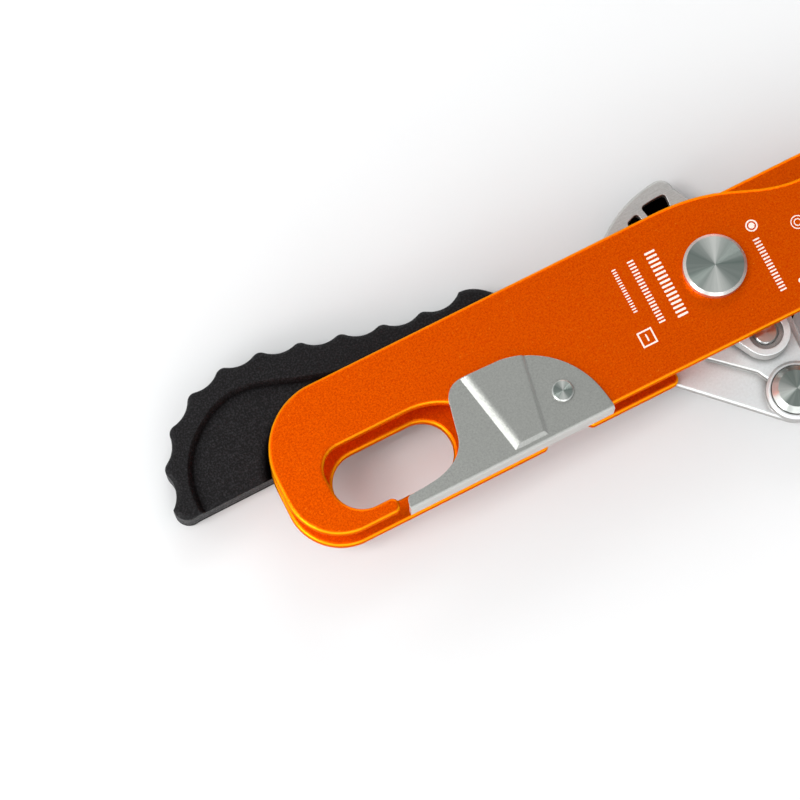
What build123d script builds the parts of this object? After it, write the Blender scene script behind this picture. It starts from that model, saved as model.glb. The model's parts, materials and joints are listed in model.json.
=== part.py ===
from build123d import *
from math import cos, radians, sin
import os

# Self-braking rope descender with a swinging front plate, a sprung gate and a cam worked by a lever.
# Millimetres, +Z up.  The part frame has its origin at the centre of the attachment eye, halfway
# between the two side plates, with +X along the plates towards the rope bobbins.
# Outlines are drawn from the main axle, which the last step moves to its place in that frame.

AXLE_X, AXLE_Y = 113.5, 7.65

# Side plates
PLATE_T = 4.0
GAP = 15.0
HALF_WIDTH = 23.5
REAR_HALF_WIDTH = 24.0
LEFT_END = -148.3
RIGHT_END = 75.25
EDGE = 1.1
BACK_EDGE = 0.4
FRONT_LOW = GAP / 2
FRONT_TOP = FRONT_LOW + PLATE_T
REAR_TOP = -GAP / 2
REAR_LOW = REAR_TOP - PLATE_T

# Attachment eye and hook
EYE_LENGTH, EYE_HEIGHT = 39.4, 19.5
HOOK_TOP = 2.8
HOOK_LOW = -18.9
HOOK_CURVE = 24.0
HOOK_CURVE_X = -104.0

# Gate
GATE_PIVOT = (-59.1, -13.5)
SHEET = 1.4
GATE_LOW = FRONT_TOP + 0.2
GATE_TOP = GATE_LOW + SHEET
PAD_RISE = 0.8
PAD_LEFT_ROUND = 5.5
PAD_RIGHT_ROUND = 0.8
LIP_DEPTH = 9.5
LIP_INNER = -HALF_WIDTH - 0.2
GATE_RIVET_R = 2.6
GATE_RIVET_HEAD_R = 3.35
SPRING_POCKET_R = 6.0
SPRING_POCKET_DEPTH = 2.6

# Axles and bobbins
FIT = 0.05
AXLE_R = 6.0
AXLE_HEAD_R = 9.75
AXLE_HEAD_H = 3.6
HEAD_CHAMFER = 0.9
AXLE_END = -20.0
UPPER_X = 52.0
UPPER_R = 5.0
UPPER = (UPPER_X, 0)
UPPER_HEAD_R = 8.6
UPPER_HEAD_H = 3.0
UPPER_END = REAR_LOW - 7.0
MAIN_NUT_R, MAIN_NUT_H = 8.6, 4.0
UPPER_NUT_R, UPPER_NUT_H = 8.5, 5.0
MAIN_WASHER_R = 12.0
UPPER_WASHER_R, UPPER_WASHER_T = 9.5, 1.0
BOBBIN_HALF = 7.2
CAM_R = 19.0
UPPER_BOBBIN_R = 16.5
GROOVE_R = 11.0
BUSH_R = 8.0

# Lever, its swing and the cut-away that lets it swing
LEVER_T = 3.0
WASHER_T = 0.5
LEVER_TOP = REAR_LOW - WASHER_T - FIT
LEVER_LOW = LEVER_TOP - LEVER_T
SWEEP_IN, SWEEP_OUT = 17.0, 30.6
SWEEP_FROM, SWEEP_TO = -154.5, -38.0
STEP = 2.5
SECTOR_R = 35.7
LINK = (7.1, -22.8)
LINK_R = 3.8
BRAKE = (8.3, -42.1)
BRAKE_BOSS_R = 9.2
BRAKE_BOSS_RISE = 0.8
BRAKE_R = 4.0
BRAKE_HEAD_R, BRAKE_HEAD_H = 7.6, 3.2
BRAKE_TAIL_R, BRAKE_TAIL_H = 6.0, 1.6
LUG_R = 7.6
LUG_TOP = -1.0
LUG_SINK_R, LUG_SINK = 5.5, 1.8

# Grip
GRIP_BACK = -24.8
GRIP_SPLIT = -18.5
GRIP_LOWER_Y = 8.2
GRIP_NECK_X = -58.0
GRIP_ROUND = 1.5
HUB_R = 28.5
WINDOW_LOBE_R = 34.3
SCALLOPS = 10
SCALLOP_DEPTH = 2.6
CREST_R = 3.0
RECESS = 1.6
RECESS_SLOPE = 1.5
TIP_SIDE = (-179.3, 12.0)
CAVITY_R = 12.4
CAVITY_LOW = -22.8
GRIP_SCREWS = ((-66.0, 15.5), (-42.0, 13.0), (-8.0, 25.0))
SCREW_R = 2.0
SCREW_HEAD_R = 3.8
SCREW_HEAD_H = 2.2


def polar(radius, angle):
    """A point at this distance and angle from the main axle."""
    return (radius * cos(radians(angle)), radius * sin(radians(angle)))


def slab(sketch, low, top):
    """A sketch raised into a plate between two heights."""
    return Pos(0, 0, low) * extrude(sketch, top - low)


def disc(centre, radius, low, top):
    """A round bar along Z."""
    return Pos(centre[0], centre[1], low) * Cylinder(
        radius, top - low, align=(Align.CENTER, Align.CENTER, Align.MIN)
    )


def face(*edges):
    return make_face(Wire(list(edges)))


def ring_sector(inner, outer, start, end):
    """A curved strip round the main axle between two radii and two angles."""
    middle = (start + end) / 2
    return face(
        ThreePointArc(polar(outer, start), polar(outer, middle), polar(outer, end)),
        Line(polar(outer, end), polar(inner, end)),
        ThreePointArc(polar(inner, end), polar(inner, middle), polar(inner, start)),
        Line(polar(inner, start), polar(outer, start)),
    )


def edges_at(solid, z):
    """Every edge that lies flat at height z."""
    return solid.edges().filter_by(
        lambda e: abs(e.bounding_box().min.Z - z) < 0.01 and abs(e.bounding_box().max.Z - z) < 0.01
    )


def break_edges(solid, z, size):
    return chamfer(edges_at(solid, z), size)


def round_edges(solid, z, size):
    return fillet(edges_at(solid, z), size)


# ---- side plates ----

def left_end(half_width):
    """The rounded attachment end, from the lower edge round to the upper edge."""
    bulge = half_width - HALF_WIDTH
    low_side = (LEFT_END, -5.0)
    high_side = (LEFT_END, 1.5)
    return [
        ThreePointArc((-132.0, -half_width), (-143.6, -18.1 - bulge), low_side),
        Line(low_side, high_side),
        ThreePointArc(high_side, (-142.2, 16.7 + bulge), (-128.0, half_width)),
    ]


def front_outline():
    """Hook-shaped outline, narrower at the bobbin end."""
    shoulder = (-8.0, HALF_WIDTH)
    narrow = (39.0, 13.0)
    end_r = (narrow[1] + HALF_WIDTH) / 2
    end_x = RIGHT_END - end_r
    hook_centre = (HOOK_CURVE_X, HOOK_TOP - HOOK_CURVE)
    mouth_angle = 12.1
    mouth = (
        hook_centre[0] + HOOK_CURVE * cos(radians(mouth_angle)),
        hook_centre[1] + HOOK_CURVE * sin(radians(mouth_angle)),
    )
    mid_angle = (90 + mouth_angle) / 2
    mouth_mid = (
        hook_centre[0] + HOOK_CURVE * cos(radians(mid_angle)),
        hook_centre[1] + HOOK_CURVE * sin(radians(mid_angle)),
    )
    heel = (-60.0, -HALF_WIDTH)
    tip = (-120.6, -HALF_WIDTH)
    tip_inner = (-120.6, HOOK_LOW)
    hook_low = (-125.0, HOOK_LOW)
    return face(
        *left_end(HALF_WIDTH),
        Line((-128.0, HALF_WIDTH), shoulder),
        Spline(shoulder, (14.0, 19.8), narrow, tangents=((1, 0), (1, 0))),
        Line(narrow, (end_x, narrow[1])),
        ThreePointArc(
            (end_x, narrow[1]), (RIGHT_END, narrow[1] - end_r), (end_x, -HALF_WIDTH)
        ),
        Line((end_x, -HALF_WIDTH), heel),
        Line(heel, mouth),
        ThreePointArc(mouth, mouth_mid, (HOOK_CURVE_X, HOOK_TOP)),
        Line((HOOK_CURVE_X, HOOK_TOP), (-127.5, HOOK_TOP)),
        ThreePointArc((-127.5, HOOK_TOP), (-132.6, 0.3), (-134.5, -4.8)),
        Line((-134.5, -4.8), (-134.4, -8.8)),
        ThreePointArc((-134.4, -8.8), (-131.6, -16.0), hook_low),
        Line(hook_low, tip_inner),
        ThreePointArc(tip_inner, (-118.3, (HOOK_LOW - HALF_WIDTH) / 2), tip),
        Line(tip, (-132.0, -HALF_WIDTH)),
    )


def arc_slot():
    """The slot that lets the front plate swing off the upper axle."""
    reach = 24.0
    half = UPPER_R + 0.1
    return ring_sector(UPPER_X - half, UPPER_X + half, 0, reach) + Pos(UPPER_X, 0) * Circle(half)


def make_front_plate():
    plate = slab(front_outline() - arc_slot(), FRONT_LOW, FRONT_TOP)
    plate = round_edges(plate, FRONT_TOP, EDGE)
    plate = break_edges(plate, FRONT_LOW, BACK_EDGE)
    plate -= disc((0, 0), AXLE_R + FIT, FRONT_LOW, FRONT_TOP)
    plate -= disc(GATE_PIVOT, GATE_RIVET_R, FRONT_LOW, FRONT_TOP)
    plate -= disc(GATE_PIVOT, SPRING_POCKET_R, FRONT_TOP - SPRING_POCKET_DEPTH, FRONT_TOP)
    return plate


def make_rear_plate():
    half = REAR_HALF_WIDTH
    notch_left, notch_right = -68.6, -53.0
    notch_depth = 3.6
    slant = 2.6
    end_x = RIGHT_END - half
    outline = face(
        *left_end(half),
        Line((-128.0, half), (end_x, half)),
        ThreePointArc((end_x, half), (RIGHT_END, 0), (end_x, -half)),
        Line((end_x, -half), (notch_right, -half)),
        Line((notch_right, -half), (notch_right - slant, -half + notch_depth)),
        Line((notch_right - slant, -half + notch_depth), (notch_left + slant, -half + notch_depth)),
        Line((notch_left + slant, -half + notch_depth), (notch_left, -half)),
        Line((notch_left, -half), (-132.0, -half)),
    )
    outline -= Pos(-AXLE_X, -AXLE_Y) * SlotOverall(EYE_LENGTH, EYE_HEIGHT)
    outline -= ring_sector(SWEEP_IN, SWEEP_OUT, SWEEP_FROM, SWEEP_TO)
    corners = [v for v in outline.vertices() if notch_left - 1 < v.X < notch_right + 1]
    outline = fillet(corners, 1.8)
    noses = [v for v in outline.vertices() if v.Y < -half + 0.1 and abs(v.X) < SWEEP_OUT]
    outline = fillet(noses, 2.2)
    plate = slab(outline, REAR_LOW, REAR_TOP)
    plate = break_edges(plate, REAR_LOW, BACK_EDGE)
    plate = round_edges(plate, REAR_TOP, EDGE)
    plate -= disc((0, 0), AXLE_R, REAR_LOW, REAR_TOP)
    plate -= disc(UPPER, UPPER_R, REAR_LOW, REAR_TOP)
    return plate


# ---- gate ----

def gate_outline():
    nose = (-116.2, LIP_INNER)
    shoulder = (-114.6, -21.0)
    waist = (-93.2, -10.0)
    crown = (-84.0, 3.9)
    back = (-72.0, 3.5)
    heel = (-47.3, LIP_INNER)
    return face(
        Line(nose, (-115.9, -23.2)),
        ThreePointArc((-115.9, -23.2), (-115.5, -21.7), shoulder),
        Spline(shoulder, (-102.2, -19.6), waist, tangents=((1, 0.05), (0.16, 1))),
        Line(waist, (-91.4, -2.0)),
        ThreePointArc((-91.4, -2.0), (-89.3, 2.2), crown),
        Line(crown, back),
        ThreePointArc(back, (-55.4, -4.7), (-48.0, -19.5)),
        Line((-48.0, -19.5), heel),
        Line(heel, nose),
    )


def pressed_pad():
    """The raised strip pressed across the gate, softer on its left side than on its right."""
    foot = make_face(Polyline((-85.9, 6.0), (-80.5, -23.6), (-68.8, -23.6), (-63.4, 6.0), close=True))
    crown = make_face(Polyline((-83.5, 6.0), (-78.1, -21.9), (-69.8, -21.9), (-64.4, 6.0), close=True))
    pad = loft([Pos(0, 0, GATE_TOP - 0.2) * foot, Pos(0, 0, GATE_TOP + PAD_RISE) * crown])
    folds = edges_at(pad, GATE_TOP + PAD_RISE)
    left_fold = folds.sort_by(Axis.X)[0]
    pad = fillet(left_fold, PAD_LEFT_ROUND)
    right_fold = pad.edges().filter_by(lambda e: e.length > 20).sort_by(Axis.Z)[-1]
    return fillet(right_fold, PAD_RIGHT_ROUND)


def make_gate():
    lip_length = 68.9
    lip_x = -81.75
    lip_profile = Pos(lip_x, LIP_INNER - SHEET / 2) * Rectangle(lip_length, SHEET)
    lip = slab(lip_profile, GATE_TOP - LIP_DEPTH, GATE_TOP)
    gate = slab(gate_outline(), GATE_LOW, GATE_TOP) + lip
    bend = [e for e in gate.edges().filter_by(Axis.X)
            if e.center().Y < LIP_INNER - 1 and e.center().Z > GATE_LOW]
    gate = fillet(bend, SHEET - 0.1)
    gate += pressed_pad() & slab(gate_outline(), GATE_LOW, GATE_TOP + 2 * PAD_RISE)
    gate -= disc(GATE_PIVOT, GATE_RIVET_R + FIT, GATE_LOW, GATE_TOP)
    return gate


def make_gate_rivet():
    head_low = GATE_TOP + FIT
    shank = disc(GATE_PIVOT, GATE_RIVET_R, FRONT_LOW, head_low)
    head = disc(GATE_PIVOT, GATE_RIVET_HEAD_R, head_low, head_low + 1.0)
    return shank + break_edges(head, head_low + 1.0, 0.4)


def make_gate_spring():
    """Torsion spring in the pocket under the gate."""
    wire = 0.4
    coil_r = 4.4
    pitch = 0.95
    low = FRONT_TOP - SPRING_POCKET_DEPTH + wire + 0.1
    path = Pos(GATE_PIVOT[0], GATE_PIVOT[1], low) * Helix(pitch, 1.9, coil_r)
    return sweep(Plane(origin=path @ 0, z_dir=path % 0) * Circle(wire), path=path)


# ---- axles, bobbin and cam ----

def make_main_axle():
    head_low = FRONT_TOP + FIT
    head_top = head_low + AXLE_HEAD_H
    head = break_edges(disc((0, 0), AXLE_HEAD_R, head_low, head_top), head_top, HEAD_CHAMFER)
    return head + disc((0, 0), AXLE_R, AXLE_END, head_low)


def make_nut(centre, bore, corner_radius, low, top):
    """A plain hexagon nut, given by the radius over its corners."""
    nut = Pos(*centre) * slab(RegularPolygon(corner_radius, 6), low, top)
    return nut - disc(centre, bore, low, top)


def make_washer(centre, bore, radius, thickness):
    """A flat washer under the rear plate."""
    low = REAR_LOW - thickness
    return disc(centre, radius, low, REAR_LOW) - disc(centre, bore, low, REAR_LOW)


def grooved_wheel(radius, bore):
    """A rope wheel with a rounded V groove, revolved round its own axis."""
    profile = face(
        Line((bore, -BOBBIN_HALF), (radius, -BOBBIN_HALF)),
        Line((radius, -BOBBIN_HALF), (radius, -BOBBIN_HALF + 1.4)),
        Line((radius, -BOBBIN_HALF + 1.4), (GROOVE_R + 1.4, -1.9)),
        ThreePointArc((GROOVE_R + 1.4, -1.9), (GROOVE_R, 0), (GROOVE_R + 1.4, 1.9)),
        Line((GROOVE_R + 1.4, 1.9), (radius, BOBBIN_HALF - 1.4)),
        Line((radius, BOBBIN_HALF - 1.4), (radius, BOBBIN_HALF)),
        Line((radius, BOBBIN_HALF), (bore, BOBBIN_HALF)),
        Line((bore, BOBBIN_HALF), (bore, -BOBBIN_HALF)),
    )
    return revolve(Plane.XZ * profile, Axis.Z)


def make_cam():
    """Lower bobbin with the jamming nose and the lug for the link pin."""
    nose_at = (21.0, -12.0)
    nose = make_hull([Circle(BUSH_R + 3).edge(), (Pos(*nose_at) * Circle(6.5)).edge()])
    lug = make_hull([Circle(BUSH_R + 4).edge(), (Pos(*LINK) * Circle(LUG_R)).edge()])
    cam = grooved_wheel(CAM_R, BUSH_R)
    cam += slab(nose - Circle(BUSH_R), -BOBBIN_HALF, BOBBIN_HALF)
    cam += slab(lug - Circle(BUSH_R), -BOBBIN_HALF, LUG_TOP)
    cam -= disc(LINK, LINK_R, -BOBBIN_HALF, LUG_TOP)
    cam -= disc(LINK, LUG_SINK_R, LUG_TOP - LUG_SINK, BOBBIN_HALF)
    return cam


def make_cam_bushing():
    ring = disc((0, 0), BUSH_R, -BOBBIN_HALF, BOBBIN_HALF)
    return ring - disc((0, 0), AXLE_R + FIT, -BOBBIN_HALF, BOBBIN_HALF)


def make_upper_bobbin():
    return Pos(UPPER_X, 0) * grooved_wheel(UPPER_BOBBIN_R, UPPER_R)


def make_upper_axle():
    head_low = FRONT_TOP + FIT
    head_top = head_low + UPPER_HEAD_H
    head = break_edges(disc(UPPER, UPPER_HEAD_R, head_low, head_top), head_top, HEAD_CHAMFER)
    return head + disc(UPPER, UPPER_R, UPPER_END, head_low)


# ---- lever ----

def lever_outline():
    """Windowed sector above the axle, tang to the left and arm down to the brake pin."""
    arm = make_hull([
        Circle(20.0).edge(),
        (Pos(*BRAKE) * Circle(BRAKE_BOSS_R)).edge(),
        (Pos(-16.0, -17.5) * Circle(9.5)).edge(),
    ])
    corner = (0.6, 37.2)
    side = (5.4, 32.9)
    sector = face(
        ThreePointArc(polar(SECTOR_R, 150), polar(SECTOR_R, 120), corner),
        ThreePointArc(corner, (4.2, 35.9), side),
        Line(side, (20.0, 4.0)),
        Line((20.0, 4.0), (-20.0, 0.0)),
        Line((-20.0, 0.0), polar(SECTOR_R, 150)),
    )
    tang = make_face(Polyline((-75, 12), (-75, 21), (-24, 24), (-14, -14), (-30, 8), close=True))
    return arm + sector + tang


def make_lever_plate():
    plate = slab(lever_outline(), LEVER_LOW, LEVER_TOP)
    plate = break_edges(plate, LEVER_TOP, 0.5)
    inner = SWEEP_IN + 0.4
    inner_left, inner_right = polar(inner, -117), polar(inner, -42)
    raised_outline = face(
        ThreePointArc(inner_right, polar(inner, -80), inner_left),
        Line(inner_left, (-11.7, -20.3)),
        Line((-11.7, -20.3), (0.6, -31.6)),
        Line((0.6, -31.6), (4.0, -38.5)),
        Line((4.0, -38.5), (13.0, -38.5)),
        Line((13.0, -38.5), (16.0, -32.0)),
        Line((16.0, -32.0), (16.0, -15.0)),
        Line((16.0, -15.0), inner_right),
    )
    top = LEVER_TOP + STEP
    raised = slab(raised_outline, LEVER_TOP - 0.5, top)
    raised = break_edges(raised, top, 0.3)
    boss_top = top + BRAKE_BOSS_RISE
    boss = break_edges(disc(BRAKE, BRAKE_BOSS_R, LEVER_TOP - 1, boss_top), boss_top, 0.7)
    plate = plate + raised + boss
    plate -= disc(BRAKE, BRAKE_HEAD_R + 0.25, top, boss_top)
    plate -= disc(BRAKE, BRAKE_R, LEVER_LOW, top)
    plate -= disc(LINK, LINK_R, LEVER_LOW, top)
    plate -= disc((0, 0), AXLE_R + FIT, LEVER_LOW, LEVER_TOP)
    for start, end, outer in ((86.2, 102.0, 32.4), (106.0, 114.5, 31.8)):
        window = ring_sector(27.2, outer, start, end)
        plate -= slab(fillet(window.vertices(), 1.1), LEVER_LOW, LEVER_TOP)
    for centre in GRIP_SCREWS:
        plate -= disc(centre, SCREW_R, LEVER_LOW, LEVER_TOP)
    return plate


def make_link_pin():
    top = LUG_TOP - 0.5
    return break_edges(disc(LINK, LINK_R, LEVER_LOW, top), top, 0.5)


def make_link_spacer():
    low = LEVER_TOP + STEP
    return disc(LINK, LUG_SINK_R, low, -BOBBIN_HALF) - disc(LINK, LINK_R, low, -BOBBIN_HALF)


def make_brake_pin():
    low = LEVER_TOP + STEP
    head_top = low + BRAKE_HEAD_H
    head = break_edges(disc(BRAKE, BRAKE_HEAD_R, low, head_top), head_top, 1.8)
    tail = disc(BRAKE, BRAKE_TAIL_R, LEVER_LOW - BRAKE_TAIL_H, LEVER_LOW)
    return head + disc(BRAKE, BRAKE_R, LEVER_LOW, low) + tail


# ---- grip ----

def crest_points():
    """Evenly spaced crests along a smooth curve."""
    crest_line = Spline(
        TIP_SIDE, (-171.8, 33.9), (-150.0, 46.2), (-124.5, 43.4), (-96.3, 36.0), (-69.7, 33.6)
    )
    return [crest_line @ (i / SCALLOPS) for i in range(SCALLOPS + 1)]


def scalloped_edge():
    """A hollow between each pair of crests."""
    crests = crest_points()
    hollows = []
    for first, second in zip(crests, crests[1:]):
        along = (second - first).normalized()
        inward = Vector(along.Y, -along.X)
        hollows.append(ThreePointArc(first, (first + second) / 2 + inward * SCALLOP_DEPTH, second))
    return hollows


def blade_outline():
    """The part of the grip that the hand holds."""
    tip_low = (-173.6, GRIP_LOWER_Y - 1.2)
    hidden = (-52.0, 21.0)
    outline = face(
        *scalloped_edge(),
        Spline((-69.7, 33.6), (-64.9, 32.4), (-59.8, 28.2), hidden),
        Line(hidden, (-40.0, 19.0)),
        Line((-40.0, 19.0), (-40.0, GRIP_LOWER_Y)),
        Line((-40.0, GRIP_LOWER_Y), tip_low),
        ThreePointArc(tip_low, (-177.7, 7.9), TIP_SIDE),
    )
    crests = crest_points()[1:-1]
    near = [v for v in outline.vertices() if any((Vector(v) - c).length < 0.1 for c in crests)]
    return fillet(near, CREST_R)


def hub_outline():
    """Round hub on the main axle, a lobe behind the lever's windows, and the neck towards the blade."""
    lobe = ring_sector(20, WINDOW_LOBE_R, 83, 150)
    neck = make_face(Polyline((-52, 21), (-24, 23), (-24, -14), (-52, GRIP_LOWER_Y), close=True))
    return Circle(HUB_R) + lobe + neck


def recess_outline(grow):
    """The sunk field inside the raised rim of the blade, made wider by this much."""
    side = (-170.8 - grow, 10.0)
    low = GRIP_LOWER_Y - 6
    end = (-60.0, 23.0 + grow)
    rim = Spline(
        side, (-160.0 - 0.8 * grow, 30.6 + 0.7 * grow), (-146.0, 36.0 + grow),
        (-126.5 + 0.3 * grow, 30.4 + grow), (-112.0 + 0.3 * grow, 26.0 + grow), end,
    )
    return face(
        Line((side[0], low), side),
        rim,
        Line(end, (-60.0, low)),
        Line((-60.0, low), (side[0], low)),
    )


def sunk_field():
    floor = Pos(0, 0, LEVER_TOP - RECESS) * recess_outline(0)
    mouth = Pos(0, 0, LEVER_TOP + 0.1) * recess_outline(RECESS_SLOPE)
    return loft([floor, mouth])


def spring_room():
    """Space round the nut for the torsion spring and the swing of its outer leg."""
    room = disc((0, 0), CAVITY_R, CAVITY_LOW, LEVER_LOW)
    return room + slab(ring_sector(5, CAVITY_R + 4.5, 176, 216), CAVITY_LOW, LEVER_LOW)


def make_grip_front():
    blade = slab(blade_outline(), GRIP_SPLIT, LEVER_TOP)
    hub = slab(hub_outline(), GRIP_SPLIT, LEVER_LOW)
    blade = round_edges(blade, LEVER_TOP, GRIP_ROUND)
    blade -= sunk_field()
    over_neck = Pos(GRIP_NECK_X + 40, 0, LEVER_LOW + 5) * Box(80, 100, 10)
    tang_room = slab(offset(lever_outline(), 0.1), LEVER_LOW, LEVER_TOP)
    shell = blade - over_neck + hub - tang_room
    shell -= spring_room()
    for centre in GRIP_SCREWS:
        shell -= disc(centre, SCREW_R, GRIP_SPLIT, LEVER_LOW)
    return shell


def make_grip_back():
    blade = round_edges(slab(blade_outline(), GRIP_BACK, GRIP_SPLIT), GRIP_BACK, GRIP_ROUND)
    hub = break_edges(slab(hub_outline(), GRIP_BACK, GRIP_SPLIT), GRIP_BACK, 0.6)
    shell = blade + hub
    shell -= spring_room()
    shell -= disc((0, 0), CAVITY_R, GRIP_BACK, CAVITY_LOW)
    for centre in GRIP_SCREWS:
        shell -= disc(centre, SCREW_R, GRIP_BACK, GRIP_SPLIT)
        shell -= disc(centre, SCREW_HEAD_R, GRIP_BACK, GRIP_BACK + SCREW_HEAD_H)
    return shell


def make_grip_screw(centre):
    head_top = GRIP_BACK + SCREW_HEAD_H
    head_low = GRIP_BACK + 0.3
    head = break_edges(disc(centre, SCREW_HEAD_R, head_low, head_top), head_low, 0.4)
    socket = Pos(*centre) * slab(RegularPolygon(1.5, 6), head_low, head_low + 1.3)
    return head + disc(centre, SCREW_R, head_top, LEVER_TOP) - socket


def make_hub_cap():
    cap = disc((0, 0), CAVITY_R, GRIP_BACK, CAVITY_LOW)
    return break_edges(cap, GRIP_BACK, 0.5)


def make_handle_spring():
    """Torsion spring round the nut that returns the lever."""
    wire = 0.6
    coil_r = 10.4
    low = CAVITY_LOW + 1.5
    path = Pos(0, 0, low) * Helix(1.6, 4.8, coil_r)
    coil = sweep(Plane(origin=path @ 0, z_dir=path % 0) * Circle(wire), path=path)
    leg = Rot(0, 0, 180) * Pos(coil_r - 0.4, 0, low + 2.4) * Rot(0, 90, 0) * Cylinder(
        wire, 4.8, align=(Align.CENTER, Align.CENTER, Align.MIN)
    )
    return coil + leg


def save(name, solid):
    export_step(Pos(AXLE_X, AXLE_Y) * solid, f"parts/{name}.step")


os.makedirs("parts", exist_ok=True)
save("rear_plate", make_rear_plate())
save("front_plate", make_front_plate())
save("gate", make_gate())
save("gate_rivet", make_gate_rivet())
save("gate_spring", make_gate_spring())
save("main_axle", make_main_axle())
main_nut_top = LEVER_LOW - FIT
save("main_axle_nut", make_nut((0, 0), AXLE_R, MAIN_NUT_R, main_nut_top - MAIN_NUT_H, main_nut_top))
save("rear_washer", make_washer((0, 0), AXLE_R, MAIN_WASHER_R, WASHER_T))
save("cam", make_cam())
save("cam_bushing", make_cam_bushing())
save("upper_bobbin", make_upper_bobbin())
save("upper_axle", make_upper_axle())
save("upper_washer", make_washer(UPPER, UPPER_R, UPPER_WASHER_R, UPPER_WASHER_T))
upper_nut_top = REAR_LOW - UPPER_WASHER_T
save("upper_axle_nut", make_nut(UPPER, UPPER_R, UPPER_NUT_R, upper_nut_top - UPPER_NUT_H, upper_nut_top))
save("lever_plate", make_lever_plate())
save("link_pin", make_link_pin())
save("link_spacer", make_link_spacer())
save("brake_pin", make_brake_pin())
save("grip_front_shell", make_grip_front())
save("grip_back_shell", make_grip_back())
for number, spot in enumerate(GRIP_SCREWS, 1):
    save(f"grip_screw_{number}", make_grip_screw(spot))
save("hub_cap", make_hub_cap())
save("handle_spring", make_handle_spring())
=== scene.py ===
import json
import math

import bmesh
import bpy
from mathutils import Matrix, Vector


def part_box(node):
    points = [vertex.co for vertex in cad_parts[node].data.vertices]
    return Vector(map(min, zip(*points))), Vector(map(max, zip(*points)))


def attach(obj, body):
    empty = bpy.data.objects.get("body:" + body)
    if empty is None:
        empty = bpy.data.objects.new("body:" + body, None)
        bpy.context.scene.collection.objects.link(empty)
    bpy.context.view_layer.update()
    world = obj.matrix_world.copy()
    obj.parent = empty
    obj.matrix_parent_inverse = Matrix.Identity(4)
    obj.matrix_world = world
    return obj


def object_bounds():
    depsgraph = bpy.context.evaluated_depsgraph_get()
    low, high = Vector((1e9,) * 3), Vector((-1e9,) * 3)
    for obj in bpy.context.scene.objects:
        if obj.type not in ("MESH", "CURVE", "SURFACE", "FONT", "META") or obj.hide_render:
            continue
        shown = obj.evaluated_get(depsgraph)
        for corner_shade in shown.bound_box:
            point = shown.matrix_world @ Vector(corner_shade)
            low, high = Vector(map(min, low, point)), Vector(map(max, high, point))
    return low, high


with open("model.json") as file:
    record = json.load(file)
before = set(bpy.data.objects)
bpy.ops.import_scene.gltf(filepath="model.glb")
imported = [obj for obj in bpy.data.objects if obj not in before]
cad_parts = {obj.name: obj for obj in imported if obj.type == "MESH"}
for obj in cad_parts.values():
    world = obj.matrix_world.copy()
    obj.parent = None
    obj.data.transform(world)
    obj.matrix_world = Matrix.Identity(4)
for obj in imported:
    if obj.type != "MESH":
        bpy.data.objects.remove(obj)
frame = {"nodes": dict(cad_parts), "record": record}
cad_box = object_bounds()

MM = 0.001
FRONT_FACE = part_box("front_plate")[1][2]
axle_low, axle_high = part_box("main_axle")
AXLE = Vector(((axle_low[0] + axle_high[0]) / 2, (axle_low[1] + axle_high[1]) / 2, FRONT_FACE))
FLOOR_Z = cad_box[0][2]


# ---- node helpers ----

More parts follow.
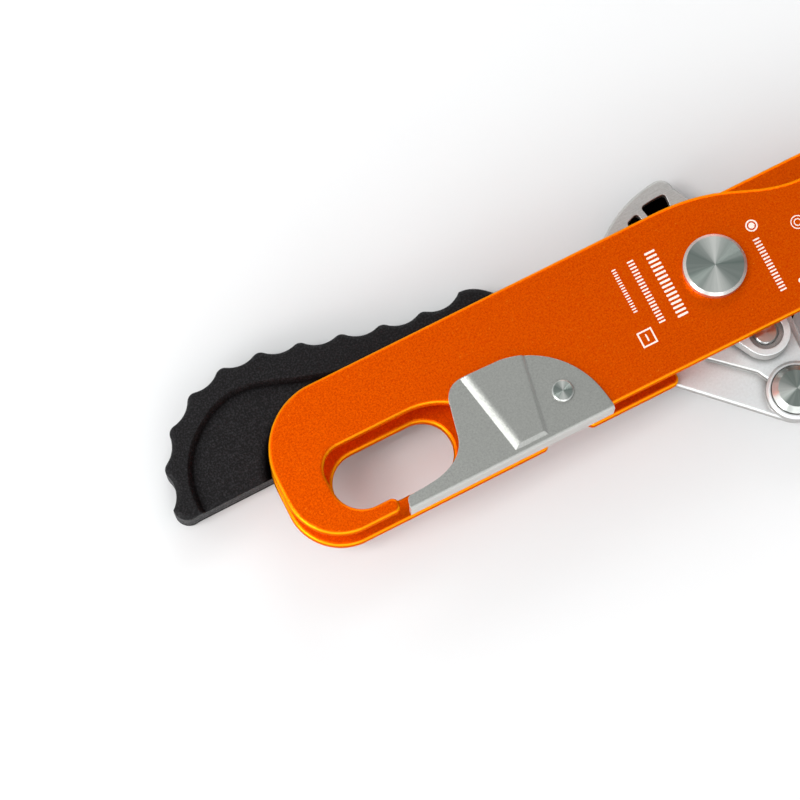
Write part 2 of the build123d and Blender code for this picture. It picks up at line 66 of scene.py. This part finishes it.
class Material:
    """A principled material with short ways to add the nodes that every finish here uses."""

    def __init__(self, name, **values):
        self.material = bpy.data.materials.new(name)
        self.material.use_nodes = True
        self.tree = self.material.node_tree
        self.shader = self.tree.nodes["Principled BSDF"]
        self.coordinates = self.add("ShaderNodeTexCoord")
        self.space = self.coordinates.outputs["Object"]
        for socket, value in values.items():
            self.shader.inputs[socket.replace("_", " ")].default_value = value

    def add(self, kind, **settings):
        node = self.tree.nodes.new(kind)
        for key, value in settings.items():
            setattr(node, key, value)
        return node

    def link(self, output, target):
        self.tree.links.new(output, target)

    def stretched(self, scale):
        """Object coordinates scaled per axis."""
        mapping = self.add("ShaderNodeMapping")
        mapping.inputs["Scale"].default_value = scale
        self.link(self.space, mapping.inputs["Vector"])
        return mapping.outputs["Vector"]

    def noise(self, size_mm, detail=3.0, roughness=0.55, stretch=None):
        """Noise whose features are about size_mm across."""
        node = self.add("ShaderNodeTexNoise")
        node.inputs["Scale"].default_value = 1 / (size_mm * MM)
        node.inputs["Detail"].default_value = detail
        node.inputs["Roughness"].default_value = roughness
        self.link(self.stretched(stretch) if stretch else self.space, node.inputs["Vector"])
        return node.outputs["Fac"]

    def ramp(self, factor, *stops):
        """Colour ramp of (position, colour) stops; a number stands for a grey."""
        node = self.add("ShaderNodeValToRGB")
        elements = node.color_ramp.elements
        while len(elements) < len(stops):
            elements.new(0.5)
        for element, (position, colour) in zip(elements, stops):
            element.position = position
            element.color = (colour, colour, colour, 1) if isinstance(colour, float) else (*colour, 1)
        self.link(factor, node.inputs["Fac"])
        return node.outputs["Color"]

    def mix(self, factor, first, second):
        """Mixes two colours, each a colour output or a fixed colour."""
        node = self.add("ShaderNodeMix", data_type="RGBA")
        for value, socket in ((factor, node.inputs[0]), (first, node.inputs[6]), (second, node.inputs[7])):
            if isinstance(value, bpy.types.NodeSocket):
                self.link(value, socket)
            else:
                socket.default_value = value if isinstance(value, float) else (*value, 1)
        return node.outputs[2]

    def math(self, operation, first, second=0.0):
        node = self.add("ShaderNodeMath", operation=operation)
        for value, socket in zip((first, second), node.inputs):
            if isinstance(value, bpy.types.NodeSocket):
                self.link(value, socket)
            else:
                socket.default_value = value
        return node.outputs[0]

    def vector_math(self, operation, vector, other=(0, 0, 0)):
        """A vector output combined with a fixed vector; a dot product gives a number."""
        node = self.add("ShaderNodeVectorMath", operation=operation)
        self.link(vector, node.inputs[0])
        node.inputs[1].default_value = other
        return node.outputs["Value" if operation == "DOT_PRODUCT" else "Vector"]

    def axis_of(self, vector, axis):
        """One component of a vector output."""
        split = self.add("ShaderNodeSeparateXYZ")
        self.link(vector, split.inputs[0])
        return split.outputs[axis]

    def level(self):
        """How level a face is: 1 when it is square to Z, 0 when it is upright."""
        return self.math("ABSOLUTE", self.axis_of(self.coordinates.outputs["Normal"], "Z"))

    def open_air(self, reach_mm, samples):
        """How open a point is: 1 in the clear, less in a corner."""
        node = self.add("ShaderNodeAmbientOcclusion", samples=samples)
        node.inputs["Distance"].default_value = reach_mm * MM
        return node.outputs["AO"]

    def colour(self, output):
        self.link(output, self.shader.inputs["Base Color"])

    def rough(self, output):
        self.link(output, self.shader.inputs["Roughness"])

    def bump(self, *layers, soft_edge_mm=0.0):
        """Stacks bumps; each layer is (height output, distance in mm, strength)."""
        previous = None
        if soft_edge_mm:
            bevel = self.add("ShaderNodeBevel", samples=8)
            bevel.inputs["Radius"].default_value = soft_edge_mm * MM
            previous = bevel.outputs["Normal"]
        for height, distance_mm, strength in layers:
            node = self.add("ShaderNodeBump")
            node.inputs["Distance"].default_value = distance_mm * MM
            node.inputs["Strength"].default_value = strength
            self.link(height, node.inputs["Height"])
            if previous:
                self.link(previous, node.inputs["Normal"])
            previous = node.outputs["Normal"]
        self.link(previous, self.shader.inputs["Normal"])


# ---- materials ----

# how far above the axle the painted shade on the sector fades in
SECTOR_SHADE_FADE = 20 * MM
# painted highlight: the direction of the two bright fans on a turned face, and how narrow they are
HIGHLIGHT_FAN_AXIS = (0.36, 0.93, 0.0)
HIGHLIGHT_FAN_AXES = {"brake_pin": (0.93, -0.36, 0.0)}
HIGHLIGHT_FAN_SHARPNESS = 5.0
# dark and bright ends of the painted fan highlight
FAN_HIGHLIGHT_TONES = ((0.27, 0.33, 0.3), (0.95, 0.97, 0.92))
# painted light: the link pin, in shade between the plates, gets a brighter copy of the turned finish with
# little fan contrast
PAINTED_LIGHT_TONES = {"link_pin": ((0.86, 0.92, 0.93), (0.95, 0.98, 0.98))}


def anodised_orange():
    """Bead-blasted and dyed aluminium, with painted glints on its surface and a painted highlight on its
    rounded edges.
    """
    m = Material("anodised_orange", Metallic=1.0, Specular_Tint=(1.0, 0.4, 0.02, 1))
    grain = m.noise(0.6, detail=5.0, roughness=0.8)
    sparkle = m.noise(0.75, detail=2.0)
    cloud = m.noise(16.0, detail=3.0)
    dye = m.mix(cloud, (0.86, 0.072, 0.0), (0.98, 0.094, 0.0))
    grained = m.mix(0.8, dye, m.ramp(grain, (0.34, (0.6, 0.036, 0.0)), (0.66, (1.0, 0.16, 0.001))))
    # painted glints: bright orange flecks scattered over the blasted surface
    with_glints = m.mix(m.ramp(sparkle, (0.66, 0.0), (0.78, 0.7)), grained, (1.0, 0.26, 0.02))
    # painted highlight: the rounded edges, where faces are not level, turn a bright yellow-orange
    edge_highlight = m.ramp(m.level(), (0.1, 0.2), (0.5, 1.0), (0.985, 0.0))
    m.colour(m.mix(edge_highlight, with_glints, (1.0, 0.44, 0.01)))
    m.rough(m.mix(edge_highlight, m.ramp(grain, (0.2, 0.5), (0.8, 0.36)), (0.25, 0.25, 0.25)))
    m.bump((grain, 0.02, 0.7), (m.noise(1.1), 0.01, 0.25))
    return m.material


def tumbled_steel():
    """Stamped sheet, tumbled matte: an even speckle, shallow dents and a painted highlight on its rims."""
    m = Material("tumbled_steel", Metallic=1.0)
    speckle = m.noise(0.6, detail=5.0, roughness=0.75)
    dents = m.noise(1.3, detail=3.0)
    cloud = m.noise(9.0)
    base = m.mix(cloud, (0.313, 0.32, 0.3), (0.357, 0.364, 0.342))
    matte = m.mix(0.4, base, m.ramp(speckle, (0.34, (0.21, 0.214, 0.2)), (0.68, (0.52, 0.52, 0.495))))
    # painted highlight: rims and other faces that are not level get a brighter grey
    rim = m.ramp(m.level(), (0.5, 1.0), (0.97, 0.0))
    m.colour(m.mix(rim, matte, (0.6, 0.595, 0.575)))
    m.rough(m.ramp(speckle, (0.25, 0.52), (0.75, 0.41)))
    m.bump((speckle, 0.012, 0.5), (dents, 0.012, 0.3), soft_edge_mm=0.35)
    return m.material


def cast_steel():
    """Blasted investment casting: above the axle, on the sector, ground strokes with painted shade; painted
    shade on its sloped faces and in its corners.
    """
    m = Material("cast_steel", Metallic=0.6)
    pebble = m.noise(0.8, detail=5.0, roughness=0.7)
    cloud = m.noise(7.0)
    blasted = m.mix(cloud, (0.82, 0.855, 0.86), (0.9, 0.935, 0.94))
    # painted shade: above the axle, on the sector, the bright blasted colour gives way to dark ground strokes
    sector_shade_mask = m.add("ShaderNodeMapRange")
    sector_shade_mask.inputs["From Min"].default_value = AXLE.y
    sector_shade_mask.inputs["From Max"].default_value = AXLE.y + SECTOR_SHADE_FADE
    m.link(m.axis_of(m.space, "Y"), sector_shade_mask.inputs["Value"])
    strokes = m.noise(0.6, detail=5.0, stretch=(0.15, 1.8, 1.0))
    ground_strokes_in_shade = m.ramp(strokes, (0.3, (0.3, 0.29, 0.27)), (0.7, (0.46, 0.445, 0.42)))
    base = m.mix(sector_shade_mask.outputs[0], blasted, ground_strokes_in_shade)
    speckled = m.mix(0.3, base, m.ramp(pebble, (0.3, (0.55, 0.54, 0.52)), (0.7, (0.93, 0.95, 0.95))))
    # painted shade: faces that are not level get a darker grey
    rim = m.ramp(m.level(), (0.4, 1.0), (0.97, 0.0))
    shaded_slopes = m.mix(rim, speckled, (0.36, 0.35, 0.34))
    # painted shade: corners and creases, found by ambient occlusion, turn almost black
    corner_shade = m.ramp(m.open_air(3.5, samples=8), (0.35, 1.0), (0.9, 0.0))
    m.colour(m.mix(corner_shade, shaded_slopes, (0.17, 0.16, 0.15)))
    m.rough(m.ramp(pebble, (0.25, 0.5), (0.75, 0.34)))
    m.bump((pebble, 0.03, 0.5), (m.noise(2.5), 0.04, 0.35), soft_edge_mm=0.5)
    return m.material


def turned_steel(name, centre, fan_axis, tones):
    """Lathe-turned stainless steel: streaks out from the piece's own axis and a painted highlight of two
    bright fans on its face.
    """
    m = Material(name, Metallic=1.0, Roughness=0.28, Anisotropic=0.8, Anisotropic_Rotation=0.25)
    tangent = m.add("ShaderNodeTangent", direction_type="RADIAL", axis="Z")
    m.link(tangent.outputs[0], m.shader.inputs["Tangent"])
    flat = m.vector_math("MULTIPLY", m.vector_math("SUBTRACT", m.space, centre), (1, 1, 0))
    heading = m.vector_math("NORMALIZE", flat)
    streaks = m.add("ShaderNodeTexNoise")
    streaks.inputs["Scale"].default_value = 3.5
    streaks.inputs["Detail"].default_value = 5.0
    m.link(heading, streaks.inputs["Vector"])
    # painted highlight: two bright fans along the fan axis, darker between them
    across = m.math("ABSOLUTE", m.vector_math("DOT_PRODUCT", heading, fan_axis))
    fan_highlight = m.math("POWER", across, HIGHLIGHT_FAN_SHARPNESS)
    lines = m.ramp(streaks.outputs["Fac"], (0.34, 0.0), (0.68, 1.0))
    streaked = m.mix(0.25, m.ramp(fan_highlight, (0.0, 0.0), (1.0, 1.0)), lines)
    painted_fan_tone = m.mix(streaked, *tones)
    rim = m.ramp(m.level(), (0.6, 1.0), (0.95, 0.0))
    m.colour(m.mix(rim, painted_fan_tone, (0.55, 0.55, 0.53)))
    m.bump((streaks.outputs["Fac"], 0.01, 0.3), (m.noise(0.5, detail=4.0), 0.008, 0.35))
    return m.material


def plated_steel():
    """Zinc plating, slightly cloudy, with scuffs."""
    m = Material("plated_steel", Metallic=1.0)
    cloud = m.noise(1.5, detail=5.0)
    m.colour(m.ramp(cloud, (0.3, (0.46, 0.47, 0.48)), (0.7, (0.66, 0.66, 0.65))))
    m.rough(m.ramp(m.noise(0.6), (0.3, 0.42), (0.7, 0.28)))
    m.bump((m.noise(0.35, detail=4.0), 0.012, 0.4))
    return m.material


def spring_steel():
    """Drawn wire with lengthwise die marks."""
    m = Material("spring_steel", Metallic=1.0, Roughness=0.3)
    marks = m.noise(0.3, detail=4.0, stretch=(1.0, 1.0, 4.0))
    m.colour(m.ramp(marks, (0.3, (0.3, 0.3, 0.31)), (0.7, (0.5, 0.5, 0.5))))
    m.bump((marks, 0.01, 0.4))
    return m.material


def sintered_bronze():
    m = Material("sintered_bronze", Metallic=1.0, Roughness=0.4)
    pores = m.noise(0.25, detail=5.0, roughness=0.7)
    m.colour(m.ramp(pores, (0.35, (0.35, 0.2, 0.08)), (0.65, (0.68, 0.46, 0.22))))
    m.bump((pores, 0.02, 0.5))
    return m.material


def black_polyamide():
    """Moulded plastic with a coarse spark-eroded texture, with painted shade in its corners: darker and less
    shiny there.
    """
    m = Material("black_polyamide")
    texture = m.noise(0.6, detail=3.0, roughness=0.6)
    cells = m.add("ShaderNodeTexVoronoi", feature="F1")
    cells.inputs["Scale"].default_value = 1 / (0.7 * MM)
    m.link(m.space, cells.inputs["Vector"])
    pits = m.ramp(cells.outputs["Distance"], (0.1, 1.0), (0.65, 0.0))
    cloud = m.noise(18.0)
    tone = m.mix(cloud, (0.002, 0.0016, 0.0018), (0.0035, 0.003, 0.0033))
    speckled = m.mix(m.ramp(texture, (0.46, 0.0), (0.7, 1.0)), tone, (0.02, 0.019, 0.021))
    # painted shade: corners and creases, found by ambient occlusion, turn near black and lose their shine
    open_air = m.ramp(m.open_air(5.0, samples=16), (0.78, 0.0), (0.98, 1.0))
    m.colour(m.mix(open_air, (0.0006, 0.0004, 0.0004), speckled))
    m.link(m.math("MULTIPLY", open_air, 0.15), m.shader.inputs["Specular IOR Level"])
    m.rough(m.ramp(texture, (0.3, 0.6), (0.7, 0.36)))
    m.bump((pits, 0.07, 0.7), (texture, 0.06, 0.7), soft_edge_mm=0.8)
    return m.material


def engraving():
    """Laser-etched aluminium: the dye is burnt off, which leaves a pale, slightly uneven mark."""
    m = Material("engraving", Metallic=0.2, Roughness=0.6)
    burn = m.noise(0.3, detail=4.0)
    m.colour(m.ramp(burn, (0.3, (0.74, 0.6, 0.52)), (0.7, (0.88, 0.78, 0.72))))
    m.bump((burn, 0.01, 0.3))
    return m.material


def floor_material():
    m = Material("white_table", Roughness=0.55)
    m.colour(m.mix(m.noise(60.0), (0.68, 0.68, 0.68), (0.695, 0.695, 0.695)))
    return m.material


MATERIALS = {
    "orange_anodised": anodised_orange(),
    "stamped_steel": tumbled_steel(),
    "cast_steel": cast_steel(),
    "plated_steel": plated_steel(),
    "spring_steel": spring_steel(),
    "bronze": sintered_bronze(),
    "black_polyamide": black_polyamide(),
}
TURNED_SLOTS = ("turned_steel", "wheel_steel")


def paint(obj, material):
    obj.data.materials.clear()
    obj.data.materials.append(material)


def finish_cad_nodes():
    """Every CAD node gets the material of its record slot; a turned piece has streaks from its own axis."""
    for part in frame["record"]["subparts"]:
        node, slot = part["node"], part["material_slot"]
        if slot in TURNED_SLOTS:
            low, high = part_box(node)
            centre = [(low[i] + high[i]) / 2 for i in range(3)]
            # turned pieces get their painted fan highlight; the link pin gets brighter painted-light tones
            fan_axis, tones = HIGHLIGHT_FAN_AXES.get(node, HIGHLIGHT_FAN_AXIS), PAINTED_LIGHT_TONES.get(node, FAN_HIGHLIGHT_TONES)
            finish = turned_steel(f"{slot}_{node}", centre, fan_axis, tones)
            paint(frame["nodes"][node], finish)
        else:
            paint(frame["nodes"][node], MATERIALS[slot])


RIM_WIDTH = 0.3 * MM
RIM_ANGLE = math.radians(60)


def soften_gate():
    """A rubbed rim on the cut sheet."""
    bevel = frame["nodes"]["gate"].modifiers.new("rubbed_rim", "BEVEL")
    bevel.width = RIM_WIDTH
    bevel.segments = 2
    bevel.limit_method = "ANGLE"
    bevel.angle_limit = RIM_ANGLE


# ---- pieces ----

def add_piece(name, mesh, body, material):
    """A new mesh piece that rides on a body and gets a material."""
    piece = bpy.data.objects.new(name, mesh)
    bpy.context.scene.collection.objects.link(piece)
    paint(piece, material)
    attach(piece, body)
    return piece


def flat_mesh(name, loops, height, rise):
    """Closed thin tiles from outlines; each outline is a list of (x, y) points in metres."""
    mesh = bpy.data.meshes.new(name)
    bm = bmesh.new()
    for loop in loops:
        low = [bm.verts.new((x, y, height)) for x, y in loop]
        top = [bm.verts.new((x, y, height + rise)) for x, y in loop]
        bm.faces.new(top)
        bm.faces.new(reversed(low))
        for i in range(len(loop)):
            j = (i + 1) % len(loop)
            bm.faces.new((low[i], low[j], top[j], top[i]))
    bm.to_mesh(mesh)
    bm.free()
    return mesh


MARK_HEIGHT = 0.012 * MM
CORNERS = ((1, 1), (-1, 1), (-1, -1), (1, -1))
CORNER_STEPS = 4
RING_STEPS = 32


def from_axle(x, y):
    """A point in metres, from its offset to the main axle in mm."""
    return (AXLE.x + x * MM, AXLE.y + y * MM)


def rounded_bar(x, y, width, height):
    """Outline of a bar with round ends; x and y are its centre."""
    r = min(width, height) / 2
    points = []
    for quarter, (sx, sy) in enumerate(CORNERS):
        for step in range(CORNER_STEPS + 1):
            a = math.radians(90 * (quarter + step / CORNER_STEPS))
            points.append(from_axle(
                x + sx * (width / 2 - r) + r * math.cos(a),
                y + sy * (height / 2 - r) + r * math.sin(a),
            ))
    return points


def ring_tiles(x, y, outer, inner):
    """A ring, or a dot when inner is 0, as a chain of four-sided tiles."""
    def at(radius, step):
        a = math.tau * step / RING_STEPS
        return from_axle(x + radius * math.cos(a), y + radius * math.sin(a))
    return [[at(inner, i), at(outer, i), at(outer, i + 1), at(inner, i + 1)] for i in range(RING_STEPS)]


def bar_row(x, start, count, length, width, gap):
    """Equal bars one after another along -Y from start, all at the same x."""
    return [rounded_bar(x, start - length / 2 - i * (length + gap), width, length) for i in range(count)]


def frame_tiles(x, y, width, height, line):
    """A rectangular frame as a ring of four mitred tiles."""
    def corners(grow):
        return [from_axle(x + sx * (width / 2 + grow), y + sy * (height / 2 + grow)) for sx, sy in CORNERS]
    inner, outer = corners(-line / 2), corners(line / 2)
    return [[inner[i], outer[i], outer[(i + 1) % 4], inner[(i + 1) % 4]] for i in range(4)]


# Marks in mm from the main axle.  Rows: x, start y, count, bar length, bar width, gap.
MARK_ROWS = (
    (-15.4, 13.4, 16, 0.7, 3.6, 0.75),
    (-22.0, 13.4, 20, 0.5, 2.2, 0.6),
    (-27.8, 13.2, 17, 0.4, 1.4, 0.5),
    (-28.4, -9.0, 1, 2.4, 0.5, 0.0),
    (15.5, 2.2, 17, 0.5, 2.2, 0.6),
)
# Frame: x, y, width, height, line width.  Rings: x, y, outer radius, inner radius.
MARK_FRAME = (-28.4, -10.2, 4.4, 4.6, 0.5)
MARK_RINGS = (
    (16.3, 6.4, 1.9, 1.45),
    (16.3, 6.4, 0.95, 0.0),
    (29.4, 1.0, 2.2, 1.9),
    (29.4, 1.0, 1.2, 0.9),
    (21.6, -15.6, 0.8, 0.0),
)


def make_marks():
    """Plain bars, rings and a frame where a maker would engrave its marks; none of them can be read."""
    tiles = frame_tiles(*MARK_FRAME)
    for row in MARK_ROWS:
        tiles += bar_row(*row)
    for ring in MARK_RINGS:
        tiles += ring_tiles(*ring)
    mesh = flat_mesh("engraved_marks", tiles, FRONT_FACE - MARK_HEIGHT / 2, MARK_HEIGHT)
    add_piece("engraved_marks", mesh, "front_plate", engraving())


# ---- floor, lights and camera ----

TABLE_HALF = 3.0


def make_floor():
    mesh = bpy.data.meshes.new("table")
    corners = [(sx * TABLE_HALF, sy * TABLE_HALF, FLOOR_Z) for sx, sy in CORNERS]
    mesh.from_pydata(corners, [], [(0, 1, 2, 3)])
    table = bpy.data.objects.new("table", mesh)
    bpy.context.scene.collection.objects.link(table)
    paint(table, floor_material())


VIEW_TURN = math.radians(27.0)
VIEW_ELEVATION = math.radians(78.0)
VIEW_DISTANCE = 1.0
LENS, SENSOR = 149.2, 36.0
AIM = AXLE + Vector((-103.9, 6.6, 0)) * MM

view_right = Vector((math.cos(VIEW_TURN), -math.sin(VIEW_TURN), 0))
view_back = Vector((
    -math.sin(VIEW_TURN) * math.cos(VIEW_ELEVATION),
    -math.cos(VIEW_TURN) * math.cos(VIEW_ELEVATION),
    math.sin(VIEW_ELEVATION),
))
view_up = view_back.cross(view_right)
flat_up = Vector((view_up.x, view_up.y, 0)).normalized()


def make_camera():
    data = bpy.data.cameras.new("camera")
    data.lens = LENS
    data.sensor_width = SENSOR
    data.clip_start = 0.05
    camera = bpy.data.objects.new("camera", data)
    bpy.context.scene.collection.objects.link(camera)
    turn = Matrix((view_right, view_up, view_back)).transposed()
    camera.matrix_world = Matrix.Translation(AIM + view_back * VIEW_DISTANCE) @ turn.to_4x4()
    bpy.context.scene.camera = camera


def softbox(name, right, up, height, size, power):
    """An area light placed by its offset to the picture's right and up and by its height, in metres."""
    data = bpy.data.lights.new(name, "AREA")
    data.shape = "RECTANGLE"
    data.size, data.size_y = size
    data.energy = power
    lamp = bpy.data.objects.new(name, data)
    bpy.context.scene.collection.objects.link(lamp)
    place = AIM + view_right * right + flat_up * up + Vector((0, 0, height))
    away = (place - AIM).normalized()
    lamp.matrix_world = Matrix.Translation(place) @ away.to_track_quat("Z", "Y").to_matrix().to_4x4()


SIDES, ZENITH = 1.05, 0.34
DIM_FROM, DIM_TO = 0.72, 0.98
SLANT = 0.5
TENT_WHITE = (0.97, 0.99, 1.0, 1)


def make_world():
    """A white tent, dimmer overhead so that level faces stay darker, and brighter at the lower left."""
    world = bpy.data.worlds.new("studio")
    world.use_nodes = True
    tree = world.node_tree
    direction = tree.nodes.new("ShaderNodeTexCoord")
    split = tree.nodes.new("ShaderNodeSeparateXYZ")
    dim = tree.nodes.new("ShaderNodeMapRange")
    dim.interpolation_type = "SMOOTHSTEP"
    limits = {"From Min": DIM_FROM, "From Max": DIM_TO, "To Min": SIDES, "To Max": ZENITH}
    for socket, value in limits.items():
        dim.inputs[socket].default_value = value
    toward = tree.nodes.new("ShaderNodeVectorMath")
    toward.operation = "DOT_PRODUCT"
    toward.inputs[1].default_value = (-view_right - flat_up).normalized() * SLANT
    lean = tree.nodes.new("ShaderNodeMath")
    lean.operation = "ADD"
    lean.inputs[1].default_value = 1.0
    strength = tree.nodes.new("ShaderNodeMath")
    strength.operation = "MULTIPLY"
    background = tree.nodes["Background"]
    background.inputs["Color"].default_value = TENT_WHITE
    tree.links.new(direction.outputs["Generated"], split.inputs[0])
    tree.links.new(direction.outputs["Generated"], toward.inputs[0])
    tree.links.new(toward.outputs["Value"], lean.inputs[0])
    tree.links.new(split.outputs["Z"], dim.inputs["Value"])
    tree.links.new(dim.outputs[0], strength.inputs[0])
    tree.links.new(lean.outputs[0], strength.inputs[1])
    tree.links.new(strength.outputs[0], background.inputs["Strength"])
    bpy.context.scene.world = world


# Name, right, up and height in metres, size in metres, power in watts.
SOFTBOXES = (
    ("key_left", -1.5, -1.6, 1.0, (1.2, 1.2), 26.0),
    ("front", 0.4, -2.3, 1.3, (1.4, 1.0), 12.0),
    ("back", 0.2, 2.3, 1.6, (1.4, 1.0), 17.0),
    ("high_left", -0.75, -0.3, 1.6, (0.4, 0.7), 12.0),
)


def make_lights():
    """Low boxes round the object light its slopes, and a higher one lights its flat faces."""
    for box in SOFTBOXES:
        softbox(*box)
    bpy.context.scene.view_settings.view_transform = "Standard"


finish_cad_nodes()
soften_gate()
make_marks()
make_floor()
make_camera()
make_world()
make_lights()
